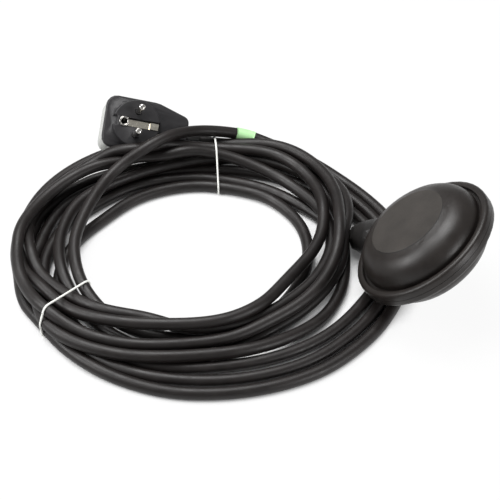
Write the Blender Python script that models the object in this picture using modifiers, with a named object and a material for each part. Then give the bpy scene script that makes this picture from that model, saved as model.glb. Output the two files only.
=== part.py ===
# Cable float switch: a lens-shaped float with a tilt switch inside, a coil of rubber cable
# and a mains plug with a socket in its back, lying as it comes off the shelf.
# Metres, +Z up. The origin is the centre of the float. The surface it lies on is below it.
import math

import bmesh
import bpy
from mathutils import Matrix, Vector

# Play between pieces that touch
GAP = 0.0003

# Float: two equal shells that meet in the rim
FLOAT_RADIUS = 0.0550
FLOAT_HALF_DEPTH = 0.0232
SHELL_WALL = 0.0026
RIM_HALF = 0.0058
RIM_WIDTH = 0.0055
RIM_ROUND = 0.0034
GROOVE_WIDTH = 0.0022
GROOVE_FLOOR = 0.0031
DOME_FLAT = 0.0270
PLATE_RADIUS = 0.0295
PLATE_STEP = 0.0005
SEAL_CORD = 0.0028
SEAL_SQUEEZE_ROOM = 0.0004
FLOAT_TILT = math.radians(36.8)
FLOAT_LEAN = math.radians(172.1)
FLOAT_CLEARANCE = 0.0027

# Cable and its coil
CABLE_DIAMETER = 0.0090
COIL_INNER_RADIUS = 0.0820
COIL_OUTER_RADIUS = 0.1310
COIL_LAYERS = 3
COIL_FROM_RIM = 0.1126
COIL_ASIDE = 0.0268
STRING_DIAMETER = 0.0014
BACK_STRING_ANGLE = math.radians(81)
FRONT_STRING_ANGLE = math.radians(212)

# Cable gland in the rim
NECK_HEADING = math.radians(132.3)
NECK_LENGTH = 0.0115
NECK_BASE_RADIUS = 0.0155
NECK_END_RADIUS = 0.0125
SPIGOT_RADIUS = 0.0104
NUT_LENGTH = 0.0058
NUT_RADIUS = 0.0112
NUT_SIDES = 8
SLEEVE_LENGTH = 0.0055
SLEEVE_WALL = 0.0022
BUSH_LENGTH = 0.0062
BUSH_WALL = 0.0032

# Tilt switch on its carrier
BALL_RADIUS = 0.0080
BALL_TRAVEL = 0.0080
BALL_REST_X = 0.0060
BALL_Y = -0.0080
CARRIER_WALL = 0.0020
CARRIER_DEPTH = 0.0090
CARRIER_HALF_LENGTH = 0.0295
CARRIER_HALF_WIDTH = 0.0235
POST_RADIUS = 0.0030
POST_SPOTS = ((-0.0255, -0.0165), (-0.0255, 0.0165), (0.0220, -0.0185))
SCREW_RADIUS = 0.0012
HEAD_RADIUS = 0.0023
HEAD_HEIGHT = 0.0013
SWITCH_SIZE = (0.0278, 0.0159, 0.0103)
LEVER_LENGTH = 0.0300
LEVER_WIDTH = 0.0040
LEVER_THICKNESS = 0.0008
LEVER_ARM = 0.0160
LEVER_PIVOT_Y = 0.0038
LEVER_CLEARANCE = 0.00045
PIN_RADIUS = 0.0008
EAR_HEIGHT = 0.0017
PIN_FROM_SWITCH = 0.0024
BUTTON_RADIUS = 0.0014
TERMINAL_SIZE = (0.0008, 0.0040, 0.0063)
TERMINAL_PITCH = 0.0080
WIRE_RADIUS = 0.0011

# Plug: black front half with the pins, light grey back half with the socket
PLUG_NORMAL = Vector((0.231, -0.6368, 0.7356))
PLUG_HEADING = math.radians(2.5)
PLUG_FROM_COIL = (-0.0456, -0.0124)
PLUG_LENGTH = 0.0670
PLUG_LEFT = 0.0250
PLUG_WIDTH = 0.0420
PLUG_TAIL_WIDTH = 0.0260
PLUG_SHOULDER = 0.0160
PLUG_CORNER = 0.0085
FRONT_DEPTH = 0.0118
BACK_DEPTH = 0.0164
PLUG_WALL = 0.0024
HOUSING_EDGE = 0.0015
BOSS_RADIUS = 0.01875
BOSS_HEIGHT = 0.0060
PIN_PITCH = 0.0190
PLUG_PIN_RADIUS = 0.0024
PLUG_PIN_LENGTH = 0.0190
SOCKET_RADIUS = 0.0197
SOCKET_DEPTH = 0.0140
CONTACT_WALL = 0.0008
CONTACT_LENGTH = 0.0064
EARTH_SLOT_WIDTH = 0.0072
EARTH_SLOT_DEPTH = 0.0044
STRAP_WIDTH = 0.0052
STRAP_THICKNESS = 0.0010
SLEEVE_OFFSET = 0.0100
EARTH_HOLE_RADIUS = 0.0025
EARTH_RING_WALL = 0.0015
CLIP_WIDTH = 0.0060
CLIP_THICKNESS = 0.0008
GRIP_SCREW_Y = 0.0078
BOOT_LENGTH = 0.0110
BOOT_RADIUS = 0.0074
BOOT_TIP_RADIUS = 0.0060
HOUSING_SCREW_SPOTS = ((-0.0185, 0.0145), (-0.0185, -0.0145), (0.0335, 0.0085), (0.0335, -0.0085))

# Colours as seen, with roughness and metal
FINISHES = {
    "float_plastic": ((0.045, 0.044, 0.043), 0.42, 0.0),
    "gland_plastic": ((0.040, 0.040, 0.040), 0.50, 0.0),
    "rubber": ((0.030, 0.029, 0.028), 0.60, 0.0),
    "seal_rubber": ((0.050, 0.048, 0.046), 0.65, 0.0),
    "string": ((0.85, 0.85, 0.82), 0.85, 0.0),
    "plug_black": ((0.050, 0.049, 0.052), 0.50, 0.0),
    "plug_grey": ((0.62, 0.63, 0.61), 0.45, 0.0),
    "pin_chrome": ((0.80, 0.79, 0.76), 0.15, 1.0),
    "earth_brass": ((0.74, 0.68, 0.54), 0.30, 1.0),
    "steel": ((0.60, 0.60, 0.60), 0.30, 1.0),
    "carrier_plastic": ((0.70, 0.69, 0.64), 0.50, 0.0),
    "switch_black": ((0.060, 0.060, 0.065), 0.45, 0.0),
    "core_brown": ((0.18, 0.08, 0.04), 0.50, 0.0),
    "core_blue": ((0.05, 0.16, 0.45), 0.50, 0.0),
    "core_grey": ((0.35, 0.35, 0.35), 0.50, 0.0),
}

for old in list(bpy.data.objects):
    bpy.data.objects.remove(old, do_unlink=True)

part = bpy.data.collections.new("cable_float_switch")
cutters = bpy.data.collections.new("cutters")
bpy.context.scene.collection.children.link(part)
bpy.context.scene.collection.children.link(cutters)


def finish(key):
    found = bpy.data.materials.get(key)
    if found:
        return found
    colour, roughness, metallic = FINISHES[key]
    made = bpy.data.materials.new(key)
    made.use_nodes = True
    shader = made.node_tree.nodes["Principled BSDF"]
    shader.inputs["Base Color"].default_value = (*colour, 1.0)
    shader.inputs["Roughness"].default_value = roughness
    shader.inputs["Metallic"].default_value = metallic
    return made


# Outlines and profiles

def rounded(corners, closed=True, step=math.radians(38)):
    # Points of an outline whose corners (x, y, radius) are arcs, limited by the sides they join
    points = []
    for i, (x, y, radius) in enumerate(corners):
        here = Vector((x, y))
        if radius <= 0 or (not closed and i in (0, len(corners) - 1)):
            points.append(here)
            continue
        back = Vector(corners[i - 1][:2]) - here
        ahead = Vector(corners[(i + 1) % len(corners)][:2]) - here
        half = back.angle(ahead) / 2
        reach = min(radius / math.tan(half), 0.48 * min(back.length, ahead.length))
        radius = reach * math.tan(half)
        centre = here + (back.normalized() + ahead.normalized()).normalized() * (radius / math.sin(half))
        arm = here + back.normalized() * reach - centre
        sweep = (math.pi - 2 * half) * (1 if back.cross(ahead) < 0 else -1)
        count = max(1, math.ceil(abs(sweep) / step))
        for k in range(count + 1):
            points.append(centre + Matrix.Rotation(sweep * k / count, 2) @ arm)
    return points


def arc(centre, radii, start, end, count):
    # Points of an ellipse's arc, angles in radians
    return [
        Vector((
            centre[0] + radii[0] * math.cos(start + (end - start) * k / count),
            centre[1] + radii[1] * math.sin(start + (end - start) * k / count),
        ))
        for k in range(count + 1)
    ]


# Makers of solids

def add(name, data, key, parent=None, place=None, cutter=False):
    made = bpy.data.objects.new(name, data)
    (cutters if cutter else part).objects.link(made)
    made.parent = parent
    made.matrix_basis = place or Matrix()
    if cutter:
        made.hide_render = True
        made.display_type = "WIRE"
    else:
        data.materials.append(finish(key))
    bpy.context.view_layer.update()
    return made


def settle(made, smooth=math.radians(32)):
    # Applies what the object is made with, closes its seams and points its faces outwards
    bpy.context.view_layer.update()
    graph = bpy.context.evaluated_depsgraph_get()
    mesh = bpy.data.meshes.new_from_object(made.evaluated_get(graph))
    bm = bmesh.new()
    bm.from_mesh(mesh)
    bmesh.ops.remove_doubles(bm, verts=bm.verts, dist=1e-6)
    bmesh.ops.dissolve_degenerate(bm, edges=bm.edges, dist=1e-6)
    bmesh.ops.recalc_face_normals(bm, faces=bm.faces)
    bm.to_mesh(mesh)
    bm.free()
    mesh.shade_smooth()
    mesh.set_sharp_from_angle(angle=smooth)
    if made.type == "MESH":
        made.modifiers.clear()
        made.data = mesh
        return made
    solid = bpy.data.objects.new(made.name, mesh)
    made.users_collection[0].objects.link(solid)
    solid.parent = made.parent
    solid.matrix_basis = made.matrix_basis
    solid.hide_render = made.hide_render
    solid.display_type = made.display_type
    name = made.name
    bpy.data.objects.remove(made, do_unlink=True)
    solid.name = name
    bpy.context.view_layer.update()
    return solid


def turned(name, profile, key, parent=None, place=None, steps=48, cutter=False):
    # A profile turned about its own Z. It runs down the outer side. One that leaves the axis is closed.
    mesh = bpy.data.meshes.new(name)
    edges = [(i, i + 1) for i in range(len(profile) - 1)]
    if profile[0][0] > 1e-9:
        edges.append((len(profile) - 1, 0))
    mesh.from_pydata([(x, 0.0, z) for x, z in profile], edges, [])
    made = add(name, mesh, key, parent, place, cutter)
    turn = made.modifiers.new("turn", "SCREW")
    turn.steps = steps
    turn.render_steps = steps
    turn.use_merge_vertices = True
    turn.merge_threshold = 0.00001
    return settle(made)


def plate(name, outlines, low, high, key, parent=None, place=None, edge=0.0, cutter=False):
    # Flat outlines, holes among them, made as thick as from low to high, with rounded edges
    curve = bpy.data.curves.new(name, "CURVE")
    curve.dimensions = "2D"
    curve.fill_mode = "BOTH"
    curve.extrude = (high - low) / 2 - edge
    curve.bevel_depth = edge
    curve.bevel_resolution = 1
    curve.offset = -edge
    for outline in outlines:
        spline = curve.splines.new("POLY")
        spline.points.add(len(outline) - 1)
        for point, (x, y) in zip(spline.points, outline):
            point.co = (x, y, 0.0, 1.0)
        spline.use_cyclic_u = True
    lift = Matrix.Translation((0, 0, (low + high) / 2))
    return settle(add(name, curve, key, parent, (place or Matrix()) @ lift, cutter))


def tube(name, points, radius, key, parent=None, resolution=3, cyclic=False, cutter=False):
    curve = bpy.data.curves.new(name, "CURVE")
    curve.dimensions = "3D"
    curve.bevel_depth = radius
    curve.bevel_resolution = resolution
    curve.use_fill_caps = not cyclic
    spline = curve.splines.new("POLY")
    spline.points.add(len(points) - 1)
    for point, at in zip(spline.points, points):
        point.co = (*at, 1.0)
    spline.use_cyclic_u = cyclic
    return settle(add(name, curve, key, parent, None, cutter), math.radians(50))


def box(name, low, high, key, parent=None, place=None, bevel=0.0, cutter=False):
    mesh = bpy.data.meshes.new(name)
    bm = bmesh.new()
    size = Vector(high) - Vector(low)
    middle = (Vector(high) + Vector(low)) / 2
    bmesh.ops.create_cube(bm, size=1.0, matrix=Matrix.Translation(middle) @ Matrix.Diagonal((*size, 1.0)))
    bm.to_mesh(mesh)
    bm.free()
    made = add(name, mesh, key, parent, place, cutter)
    if bevel:
        soften(made, bevel)
    return made


def rod(name, radius, low, high, key, parent=None, place=None, sides=24, cutter=False):
    mesh = bpy.data.meshes.new(name)
    bm = bmesh.new()
    lift = Matrix.Translation((0, 0, (low + high) / 2))
    bmesh.ops.create_cone(
        bm, cap_ends=True, segments=sides, radius1=radius, radius2=radius, depth=high - low, matrix=lift
    )
    bm.to_mesh(mesh)
    bm.free()
    mesh.shade_smooth()
    mesh.set_sharp_from_angle(angle=math.radians(40))
    return add(name, mesh, key, parent, place, cutter)


def soften(made, width, segments=2, angle=math.radians(40)):
    round_off = made.modifiers.new("round_off", "BEVEL")
    round_off.width = width
    round_off.segments = segments
    round_off.limit_method = "ANGLE"
    round_off.angle_limit = angle
    return settle(made)


def combine(made, others, operation):
    for other in others:
        step = made.modifiers.new(operation.lower(), "BOOLEAN")
        step.operation = operation
        step.solver = "EXACT"
        step.object = other
        settle(made)
    return made


def carve(made, *others):
    return combine(made, others, "DIFFERENCE")


def join(made, *others):
    combine(made, others, "UNION")
    for other in others:
        bpy.data.objects.remove(other, do_unlink=True)
    return made


def seat(normal, heading, at):
    # A frame whose Z is the normal and whose X points, seen from above, to the heading
    z = Vector(normal).normalized()
    along = Vector((math.cos(heading), math.sin(heading), 0.0))
    along.z = -(along.x * z.x + along.y * z.y) / z.z
    x = along.normalized()
    y = z.cross(x)
    turn = Matrix((x, y, z)).transposed().to_4x4()
    return Matrix.Translation(at) @ turn


def empty(name, place):
    made = bpy.data.objects.new(name, None)
    part.objects.link(made)
    made.matrix_basis = place
    bpy.context.view_layer.update()
    return made


# Where the three main pieces lie

cable_radius = CABLE_DIAMETER / 2
lip_height = CABLE_DIAMETER
coil_height = COIL_LAYERS * CABLE_DIAMETER
float_low = FLOAT_RADIUS * math.sin(FLOAT_TILT) + RIM_HALF * math.cos(FLOAT_TILT)
floor = -(float_low + lip_height + FLOAT_CLEARANCE)
coil_centre = Vector((-(FLOAT_RADIUS + COIL_FROM_RIM), COIL_ASIDE, floor))
float_normal = Vector((
    math.sin(FLOAT_TILT) * math.cos(FLOAT_LEAN), math.sin(FLOAT_TILT) * math.sin(FLOAT_LEAN), math.cos(FLOAT_TILT)
))
float_frame = empty("float_frame", seat(float_normal, NECK_HEADING, (0, 0, 0)))
along_x = Matrix.Rotation(math.pi / 2, 4, "Y")

foot = FLOAT_RADIUS - RIM_WIDTH - GROOVE_WIDTH
dome_height = FLOAT_HALF_DEPTH - PLATE_STEP
dome_base = GROOVE_FLOOR + 0.0019
neck_end = FLOAT_RADIUS + NECK_LENGTH
nut_end = neck_end + GAP + NUT_LENGTH
cable_exit = nut_end + GAP + SLEEVE_LENGTH
bore = cable_radius + GAP
cable_start = foot - SHELL_WALL - 0.0010


def dome(offset, count):
    # The bulge from the plate's edge to the groove, moved in or out by the offset
    radii = (foot - DOME_FLAT + offset, dome_height - dome_base + offset)
    start = math.acos(min(1.0, max(0.0, (PLATE_RADIUS - DOME_FLAT) / radii[0])))
    return arc((DOME_FLAT, dome_base), radii, start, 0.0, count)


# Float

def float_outside(offset=0.0):
    # Half of the lens, from the middle of the plate out to the seam
    rim_in = foot + GROOVE_WIDTH
    top = FLOAT_HALF_DEPTH + offset
    rim = rounded([
        (rim_in - offset, GROOVE_FLOOR, 0.0),
        (rim_in - offset, RIM_HALF + offset, 0.0016),
        (FLOAT_RADIUS + offset, RIM_HALF + offset, RIM_ROUND + offset),
        (FLOAT_RADIUS + offset, GAP / 2, 0.0),
    ], closed=False)
    groove = [Vector((foot + offset, GROOVE_FLOOR + offset)), Vector((rim_in - offset, GROOVE_FLOOR + offset))]
    plate_edge = [Vector((0.0, top)), Vector((PLATE_RADIUS, top))]
    return plate_edge + dome(offset, 7) + groove + rim[1:]


def shell(name, place):
    inner_edge = foot - SHELL_WALL
    seal_middle = (inner_edge + FLOAT_RADIUS) / 2
    seal_half = SEAL_CORD / 2 + SEAL_SQUEEZE_ROOM
    face = [
        Vector((seal_middle + seal_half, GAP / 2)),
        Vector((seal_middle + seal_half, seal_half)),
        Vector((seal_middle - seal_half, seal_half)),
        Vector((seal_middle - seal_half, GAP / 2)),
        Vector((inner_edge, GAP / 2)),
    ]
    inside = list(reversed(dome(-SHELL_WALL, 5))) + [Vector((0.0, FLOAT_HALF_DEPTH - SHELL_WALL))]
    made = turned(name, float_outside() + face + inside, "float_plastic", float_frame, place, steps=48)
    post_foot = FLOAT_HALF_DEPTH - SHELL_WALL / 2
    post_end = CARRIER_DEPTH + GAP
    for i, (x, y) in enumerate(POST_SPOTS):
        spot = place @ Matrix.Translation((x, -y, 0))
        post = rod(f"{name}_post_{i}", POST_RADIUS, post_end, post_foot, "float_plastic", float_frame, spot, 12)
        join(made, post)
        pilot = rod(
            f"{name}_pilot_{i}", SCREW_RADIUS + GAP, post_end - 0.001, post_end + 0.0075, "", float_frame, spot,
            10, cutter=True
        )
        carve(made, pilot)
    opening = rod(f"{name}_gland_hole", SPIGOT_RADIUS + GAP, 0.030, 0.070, "", float_frame, along_x, 34, cutter=True)
    return carve(made, opening)


shell("float_shell_upper", Matrix())
shell("float_shell_lower", Matrix.Rotation(math.pi, 4, "X"))

seal_ring_middle = (foot - SHELL_WALL + FLOAT_RADIUS) / 2
seal_circle = [
    (seal_ring_middle * math.cos(a), seal_ring_middle * math.sin(a), 0.0)
    for a in (
        math.asin((SPIGOT_RADIUS + SEAL_CORD) / seal_ring_middle)
        + k / 47 * (2 * math.pi - 2 * math.asin((SPIGOT_RADIUS + SEAL_CORD) / seal_ring_middle))
        for k in range(48)
    )
]
tube("rim_seal", seal_circle, SEAL_CORD / 2, "seal_rubber", float_frame, resolution=1)


# Gland: body with its spigot through the rim, bush, cap nut and rubber sleeve

neck_start = foot - SHELL_WALL - 0.0045
seat_radius = bore + BUSH_WALL + GAP
gland_body = turned("gland_body", rounded([
    (0.0, neck_end, 0.0),
    (NECK_END_RADIUS, neck_end, 0.0012),
    (NECK_BASE_RADIUS, FLOAT_RADIUS - 0.004, 0.006),
    (NECK_BASE_RADIUS, neck_start, 0.0),
    (0.0, neck_start, 0.0),
], closed=False), "gland_plastic", float_frame, along_x, 40)
lens = [*float_outside(GAP), Vector((FLOAT_RADIUS + GAP, 0.0))]
lens += [Vector((x, -z)) for x, z in reversed(lens[:-1])]
carve(gland_body, turned("lens_space", lens, "", float_frame, steps=48, cutter=True))
join(gland_body, rod(
    "spigot", SPIGOT_RADIUS, neck_start + 0.0022, FLOAT_RADIUS + 0.004, "gland_plastic", float_frame, along_x, 32
))
carve(gland_body, turned("gland_bore", [
    (0.0, neck_end + 0.001),
    (seat_radius, neck_end + 0.001),
    (seat_radius, neck_end - BUSH_LENGTH - GAP),
    (bore, neck_end - BUSH_LENGTH - GAP),
    (bore, neck_start),
    (0.0, neck_start),
], "", float_frame, along_x, 28, cutter=True))

turned("gland_bush", rounded([
    (bore + BUSH_WALL, neck_end - GAP, 0.0008),
    (bore + BUSH_WALL, neck_end - BUSH_LENGTH, 0.0),
    (bore, neck_end - BUSH_LENGTH, 0.0),
    (bore, neck_end - GAP, 0.0),
]), "seal_rubber", float_frame, along_x, 28)

nut_outline = rounded([
    (NUT_RADIUS * math.cos(k * 2 * math.pi / NUT_SIDES), NUT_RADIUS * math.sin(k * 2 * math.pi / NUT_SIDES), 0.0018)
    for k in range(NUT_SIDES)
], step=math.radians(30))
nut_hole = arc((0, 0), (bore, bore), 0.0, 2 * math.pi * 27 / 28, 27)
plate("gland_nut", [nut_outline, nut_hole], neck_end + GAP, nut_end, "gland_plastic", float_frame, along_x)

turned("cable_sleeve", rounded([
    (bore + SLEEVE_WALL, nut_end + GAP, 0.0006),
    (bore + SLEEVE_WALL / 2, cable_exit, 0.0006),
    (bore, cable_exit, 0.0),
    (bore, nut_end + GAP, 0.0),
])[::-1], "seal_rubber", float_frame, along_x, 28)


# Switch carrier with the ball's cage

carrier_top = -(CARRIER_DEPTH - CARRIER_WALL)
ball_z = carrier_top + GAP + BALL_RADIUS
ball_end_x = BALL_REST_X - BALL_TRAVEL
bay = BALL_RADIUS + GAP
cage_top = ball_z + 0.0017
rail_top = ball_z - 0.0048
pivot_x = BALL_REST_X + LEVER_ARM
switch_face = LEVER_PIVOT_Y + PIN_FROM_SWITCH
switch_x = pivot_x + 0.0020
switch_low = carrier_top + GAP
switch_high = switch_low + SWITCH_SIZE[2]
screw_spots = (
    (switch_x - SWITCH_SIZE[0] + 0.0029, switch_face + SWITCH_SIZE[1] - 0.0029),
    (switch_x - 0.0029, switch_face + 0.0029),
)

carrier_outline = rounded([
    (-CARRIER_HALF_LENGTH, -CARRIER_HALF_WIDTH, 0.010),
    (CARRIER_HALF_LENGTH, -CARRIER_HALF_WIDTH, 0.010),
    (CARRIER_HALF_LENGTH, CARRIER_HALF_WIDTH, 0.008),
    (-CARRIER_HALF_LENGTH, CARRIER_HALF_WIDTH, 0.010),
])
carrier_holes = [
    arc((x, y), (SCREW_RADIUS + GAP, SCREW_RADIUS + GAP), 0.0, 2 * math.pi * 9 / 10, 9)
    for x, y in (*POST_SPOTS, *screw_spots)
]
carrier = plate(
    "switch_carrier", [carrier_outline, *carrier_holes], -CARRIER_DEPTH, carrier_top, "carrier_plastic", float_frame
)
cage = box(
    "cage",
    (ball_end_x - bay - CARRIER_WALL, BALL_Y - bay - CARRIER_WALL, -CARRIER_DEPTH + CARRIER_WALL / 2),
    (BALL_REST_X + bay + CARRIER_WALL, BALL_Y + bay + CARRIER_WALL, cage_top), "carrier_plastic", float_frame
)
ball_bay = box(
    "ball_bay", (ball_end_x - bay, BALL_Y - bay, carrier_top), (BALL_REST_X + bay, BALL_Y + bay, cage_top + 0.002),
    "", float_frame, cutter=True
)
lever_way = box(
    "lever_way", (ball_end_x - 0.03, BALL_Y + bay - 0.0002, rail_top), (BALL_REST_X + 0.03, 0.02, cage_top + 0.002),
    "", float_frame, cutter=True
)
carve(cage, ball_bay, lever_way)
join(carrier, cage)

ball = bpy.data.meshes.new("steel_ball")
ball_shape = bmesh.new()
bmesh.ops.create_uvsphere(ball_shape, u_segments=20, v_segments=12, radius=BALL_RADIUS)
ball_shape.to_mesh(ball)
ball_shape.free()
ball.shade_smooth()
add("steel_ball", ball, "steel", float_frame, Matrix.Translation((BALL_REST_X, BALL_Y, ball_z)))


def screws(name, spots, seat_z, end_z, parent, place=None):
    # Equal screws with slotted heads, standing on seat_z and reaching down to end_z
    for i, (x, y) in enumerate(spots, 1):
        spot = (place or Matrix()) @ Matrix.Translation((x, y, 0))
        screw = turned(f"{name}_{i}", rounded([
            (0.0, seat_z + HEAD_HEIGHT, 0.0),
            (HEAD_RADIUS, seat_z + HEAD_HEIGHT, 0.0005),
            (HEAD_RADIUS, seat_z, 0.0),
            (SCREW_RADIUS, seat_z, 0.0),
            (SCREW_RADIUS, end_z, 0.0),
            (0.0, end_z, 0.0),
        ], closed=False), "steel", parent, spot, 12)
        slot = box(
            f"{name}_{i}_slot", (-HEAD_RADIUS * 2, -0.0003, seat_z + HEAD_HEIGHT - 0.0005),
            (HEAD_RADIUS * 2, 0.0003, seat_z + HEAD_HEIGHT + 0.001), "", parent, spot, cutter=True
        )
        carve(screw, slot)


screws("carrier_screw", POST_SPOTS, carrier_top + GAP, -CARRIER_DEPTH - 0.0055, float_frame)
screws("microswitch_screw", screw_spots, switch_high + GAP, -CARRIER_DEPTH + GAP, float_frame)


# Microswitch with its long lever

lever_z = ball_z - 0.0018
switch_body = box(
    "microswitch_body", (switch_x - SWITCH_SIZE[0], switch_face, switch_low),
    (switch_x, switch_face + SWITCH_SIZE[1], switch_high), "switch_black", float_frame, bevel=0.0006
)
ear_reach = LEVER_PIVOT_Y - PIN_RADIUS - 0.0014
for i, low in enumerate((lever_z - LEVER_WIDTH / 2 - GAP - EAR_HEIGHT, lever_z + LEVER_WIDTH / 2 + GAP)):
    ear = box(
        f"ear_{i}", (pivot_x - 0.0019, ear_reach, low), (switch_x - 0.0002, switch_face + 0.001, low + EAR_HEIGHT),
        "switch_black", float_frame
    )
    join(switch_body, ear)
pivot_line = Matrix.Translation((pivot_x, LEVER_PIVOT_Y, 0))
carve(switch_body, rod(
    "pin_hole", PIN_RADIUS + GAP, switch_low, switch_high + 0.001, "", float_frame, pivot_line, 16, cutter=True
))
for i, (x, y) in enumerate(screw_spots):
    carve(switch_body, rod(
        f"switch_hole_{i}", SCREW_RADIUS + GAP, switch_low - 0.001, switch_high + 0.001, "", float_frame,
        Matrix.Translation((x, y, 0)), 16, cutter=True
    ))
rod(
    "lever_pin", PIN_RADIUS, lever_z - LEVER_WIDTH / 2 - GAP - EAR_HEIGHT, lever_z + LEVER_WIDTH / 2 + GAP + EAR_HEIGHT,
    "steel", float_frame, pivot_line, 14
)


def lever_angle(arm):
    # The lean at which the lever clears a ball whose centre is this far along it, at the end of its run
    reach = BALL_RADIUS + LEVER_THICKNESS / 2 + LEVER_CLEARANCE
    height = LEVER_PIVOT_Y - BALL_Y
    span = math.hypot(height, arm)
    return math.acos(reach / span) - math.atan2(arm, height)


lever_rest = lever_angle(LEVER_ARM)
lever_pressed = lever_angle(LEVER_ARM + BALL_TRAVEL)
button_arm = 0.0080
button_end = LEVER_PIVOT_Y - button_arm * math.tan(lever_pressed) + LEVER_THICKNESS / 2 + GAP * 1.3
button = rod(
    "button", BUTTON_RADIUS, 0.0, switch_face + 0.0010 - button_end, "switch_black", float_frame,
    Matrix.Translation((pivot_x - button_arm, switch_face + 0.0010, lever_z)) @ Matrix.Rotation(math.pi / 2, 4, "X"), 14
)
join(switch_body, button)

eye = PIN_RADIUS + GAP
lever = plate(
    "switch_lever",
    [
        rounded([
            (-LEVER_LENGTH, -LEVER_THICKNESS / 2, 0.0),
            (0.0, -LEVER_THICKNESS / 2, 0.0),
            (0.0, LEVER_THICKNESS / 2, 0.0),
            (-LEVER_LENGTH, LEVER_THICKNESS / 2, 0.0),
        ]),
    ],
    -LEVER_WIDTH / 2, LEVER_WIDTH / 2, "steel", float_frame,
    Matrix.Translation((pivot_x, LEVER_PIVOT_Y, lever_z)) @ Matrix.Rotation(lever_rest, 4, "Z")
)
at_pivot = Matrix.Translation((pivot_x, LEVER_PIVOT_Y, lever_z))
join(lever, rod("eye", eye + LEVER_THICKNESS, -LEVER_WIDTH / 2, LEVER_WIDTH / 2, "steel", float_frame, at_pivot, 20))
carve(lever, rod("eye_hole", eye, -LEVER_WIDTH, LEVER_WIDTH, "", float_frame, at_pivot, 16, cutter=True))

# Terminals and the three cores that run from them to the end of the cable
terminal_base = switch_face + SWITCH_SIZE[1] + GAP
terminal_z = (switch_low + switch_high) / 2
core_seat = cable_radius * 0.52
for i, (key, angle) in enumerate((("core_brown", 90), ("core_blue", 210), ("core_grey", 330))):
    x = switch_x - SWITCH_SIZE[0] / 2 + (1 - i) * TERMINAL_PITCH
    name = ("common", "closed", "open")[i]
    box(
        f"terminal_{name}", (x - TERMINAL_SIZE[0] / 2, terminal_base, terminal_z - TERMINAL_SIZE[2] / 2),
        (x + TERMINAL_SIZE[0] / 2, terminal_base + TERMINAL_SIZE[1], terminal_z + TERMINAL_SIZE[2] / 2),
        "earth_brass", float_frame
    )
    level = (1 - i) * 0.0034
    start = terminal_base + TERMINAL_SIZE[1] + GAP
    bend = start + (0.0018, 0.0044, 0.0044)[i]
    seat_y = core_seat * math.cos(math.radians(angle))
    seat_z = core_seat * math.sin(math.radians(angle))
    route = [
        (x, start, terminal_z), (x, start + 0.0008, terminal_z), (x + 0.0010, bend - 0.0004, (terminal_z + level) / 2),
        (x + 0.0030, bend, level), (switch_x - 0.0010, bend, level), (switch_x + 0.0035, bend - 0.0022, level),
        (switch_x + 0.0075, 0.0205, level), (cable_start - 0.0085, 0.0120, level),
        (cable_start - 0.0055, 0.0060, level), (cable_start - 0.0032, seat_y + 0.0012, (seat_z + level) / 2),
        (cable_start - 0.0014, seat_y, seat_z), (cable_start - GAP, seat_y, seat_z),
    ]
    tube(f"cable_core_{name}", route, WIRE_RADIUS, key, float_frame, resolution=1)


# Coil of cable: one solid of its outer shape

def coil_section(offset=0.0):
    # The coil's cross-section, from the top of the inner side clockwise: radius, height, rounding
    shelf = COIL_OUTER_RADIUS - cable_radius * 2
    top_end = shelf - CABLE_DIAMETER * 0.9
    return [
        (top_end, coil_height, 0.0060),
        (shelf, lip_height, 0.0030),
        (COIL_OUTER_RADIUS, lip_height, 0.0040),
        (COIL_OUTER_RADIUS, 0.0, 0.0035),
        (COIL_INNER_RADIUS, 0.0, 0.0040),
        (COIL_INNER_RADIUS, coil_height, 0.0065),
    ]


at_coil = Matrix.Translation(coil_centre)
coil = turned("cable_coil", rounded(coil_section()), "rubber", None, at_coil, steps=60)


def around(angle, radius, height):
    # A point by its angle, distance and height in the coil
    return coil_centre + Vector((radius * math.cos(angle), radius * math.sin(angle), height))


# Short lead from the float: through the gland and into the coil
float_place = float_frame.matrix_world
lead_end = cable_exit + 0.0045
lead_points = [float_place @ Vector((x, 0, 0)) for x in (cable_start, neck_end, cable_exit, lead_end)]
tube("cable_lead_float", lead_points, cable_radius, "rubber")
gland_space = [
    (0.0, lead_end + GAP),
    (cable_radius + GAP, lead_end + GAP),
    (cable_radius + GAP, cable_exit + 0.001),
    (NECK_END_RADIUS + 0.001, cable_exit + 0.001),
    (NECK_BASE_RADIUS + 0.001, FLOAT_RADIUS - 0.004),
    (0.0, FLOAT_RADIUS - 0.004),
]
carve(coil, turned("gland_space", gland_space, "", float_frame, along_x, 32, cutter=True))

# Plug frame: the boss's face is its XY plane, X towards the cable, Z out along the pins
tail = PLUG_LENGTH - PLUG_LEFT
half_width = PLUG_WIDTH / 2
face_level = -BOSS_HEIGHT
split_level = face_level - FRONT_DEPTH
back_level = split_level - GAP - BACK_DEPTH


def housing_outline(inset=0.0, step=math.radians(24)):
    return rounded([
        (-PLUG_LEFT + inset, -half_width + inset, PLUG_CORNER - inset),
        (PLUG_SHOULDER, -half_width + inset, 0.014),
        (tail - inset, -PLUG_TAIL_WIDTH / 2 + inset, 0.0055),
        (tail - inset, PLUG_TAIL_WIDTH / 2 - inset, 0.0055),
        (PLUG_SHOULDER, half_width - inset, 0.014),
        (-PLUG_LEFT + inset, half_width - inset, PLUG_CORNER - inset),
    ], step=step)


plug_turn = seat(PLUG_NORMAL, PLUG_HEADING, (0, 0, 0))
plug_drop = min((plug_turn @ Vector((x, y, back_level))).z for x, y in housing_outline())
plug_at = coil_centre + Vector((PLUG_FROM_COIL[0], COIL_OUTER_RADIUS + PLUG_FROM_COIL[1], GAP - plug_drop))
plug_frame = empty("plug_frame", Matrix.Translation(plug_at) @ plug_turn)
plug_along = Matrix.Rotation(math.pi / 2, 4, "Y")

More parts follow.
